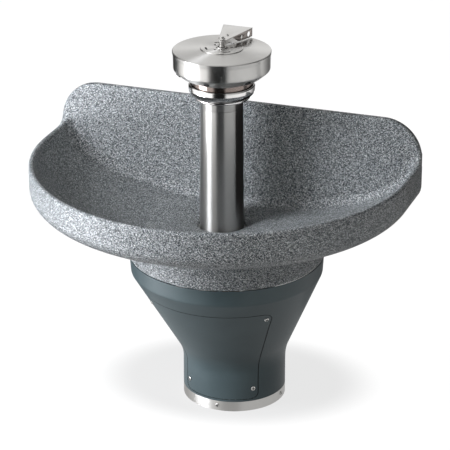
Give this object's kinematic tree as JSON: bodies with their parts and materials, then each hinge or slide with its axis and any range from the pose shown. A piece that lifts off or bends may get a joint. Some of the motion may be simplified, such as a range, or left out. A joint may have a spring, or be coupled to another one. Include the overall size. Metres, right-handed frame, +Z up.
{
  "type": "wash fountain",
  "caption": "Half-round wall-side pedestal wash fountain: cast bowl and backsplash on a flared shell, steel post, touch ring and round spray head with a wall brace.",
  "frame": {"origin": "on the floor under the centre of the post, at the underside of the base plate", "axes": "+Z up; +Y towards the wall, whose plane is Y = 0.168 m; X along the wall"},
  "size_m": [1.219, 0.7775, 1.2745],
  "materials": {
    "cast_stone": "speckled cast stone, satin",
    "slate_shell": "satin, dark slate",
    "brushed_stainless": "brushed",
    "polished_stainless": "polished",
    "brass": "cast and machined",
    "copper_tube": "copper tube",
    "drain_casting": "cast",
    "frame_paint": "grey paint",
    "black_rubber": "matte",
    "white_plastic": "moulded",
    "red_plastic": "moulded",
    "blue_plastic": "moulded"
  },
  "bodies": {
    "fountain": {"anchor_bolt_1": "brushed_stainless", "anchor_bolt_2": "brushed_stainless", "anchor_bolt_3": "brushed_stainless", "anchor_bolt_4": "brushed_stainless", "band_screw_1": "brushed_stainless", "band_screw_2": "brushed_stainless", "band_screw_3": "brushed_stainless", "base_band": "brushed_stainless", "base_plate": "frame_paint", "bowl": "cast_stone", "bowl_support_plate": "frame_paint", "bracket_screw": "brushed_stainless", "cold_stop_body": "brass", "cold_supply_tube": "copper_tube", "column_seal": "black_rubber", "column_tube": "brushed_stainless", "distribution_manifold": "brass", "drain_body": "drain_casting", "drain_gasket": "black_rubber", "frame_upright_left": "frame_paint", "frame_upright_right": "frame_paint", "head_cover": "brushed_stainless", "head_dish": "brushed_stainless", "head_spacer_tube": "brushed_stainless", "hot_stop_body": "brass", "hot_supply_tube": "copper_tube", "hub_disc": "brushed_stainless", "metering_valve_body": "brass", "mixing_valve_body": "brass", "p_trap": "white_plastic", "pedestal_shell": "slate_shell", "ring_spring_1": "brushed_stainless", "ring_spring_2": "brushed_stainless", "ring_spring_3": "brushed_stainless", "ring_support_collar": "polished_stainless", "riser_pipe": "copper_tube", "slip_nut_lower": "white_plastic", "slip_nut_upper": "white_plastic", "spray_nozzle_1": "black_rubber", "spray_nozzle_2": "black_rubber", "spray_nozzle_3": "black_rubber", "tailpiece": "white_plastic", "tie_rod": "brushed_stainless", "tie_rod_nut": "brushed_stainless", "top_bracket": "brushed_stainless", "top_nut": "brushed_stainless", "top_washer": "brushed_stainless", "valve_outlet_tube": "copper_tube", "waste_pipe": "white_plastic"},
    "touch_ring": {"touch_ring": "polished_stainless"},
    "valve_plunger": {"valve_plunger": "brushed_stainless"},
    "mixing_valve_lever": {"mixing_valve_lever": "white_plastic"},
    "hot_stop_handle": {"hot_stop_handle": "red_plastic"},
    "cold_stop_handle": {"cold_stop_handle": "blue_plastic"},
    "access_panel": {"access_panel": "slate_shell", "panel_screw_1": "brushed_stainless", "panel_screw_2": "brushed_stainless", "panel_screw_3": "brushed_stainless", "panel_screw_4": "brushed_stainless"},
    "strainer": {"strainer_ring": "brushed_stainless"}
  },
  "joints": [
    {"name": "touch_ring_press", "type": "slide", "parent": "fountain", "child": "touch_ring", "axis": [0, 0, -1], "range_m": [0, 0.0045], "stiffness_N_per_m": 1500, "springref_m": -0.02, "deforming": ["ring_spring_1", "ring_spring_2", "ring_spring_3"]},
    {"name": "valve_plunger_press", "type": "slide", "parent": "fountain", "child": "valve_plunger", "axis": [0, 0, -1], "range_m": [0, 0.0045]},
    {"name": "mixing_valve_turn", "type": "hinge", "parent": "fountain", "child": "mixing_valve_lever", "pos_m": [-0.045, 0.105, 0.34], "axis": [0, -1, 0], "range_deg": [-45, 45]},
    {"name": "hot_stop_turn", "type": "hinge", "parent": "fountain", "child": "hot_stop_handle", "pos_m": [-0.088, 0.1057, 0.24], "axis": [0, 1, 0], "range_deg": [0, 90]},
    {"name": "cold_stop_turn", "type": "hinge", "parent": "fountain", "child": "cold_stop_handle", "pos_m": [-0.002, 0.1057, 0.24], "axis": [0, 1, 0], "range_deg": [0, 90]},
    {"name": "access_panel_removal", "type": "slide", "parent": "fountain", "child": "access_panel", "axis": [0, -1, 0], "range_m": [0, 0.12]},
    {"name": "strainer_lift", "type": "slide", "parent": "fountain", "child": "strainer", "axis": [0, 0, 1], "range_m": [0, 0.05]}
  ],
  "couplings": [
    {"joint": "valve_plunger_press", "follows": "touch_ring_press", "ratio": 1}
  ]
}
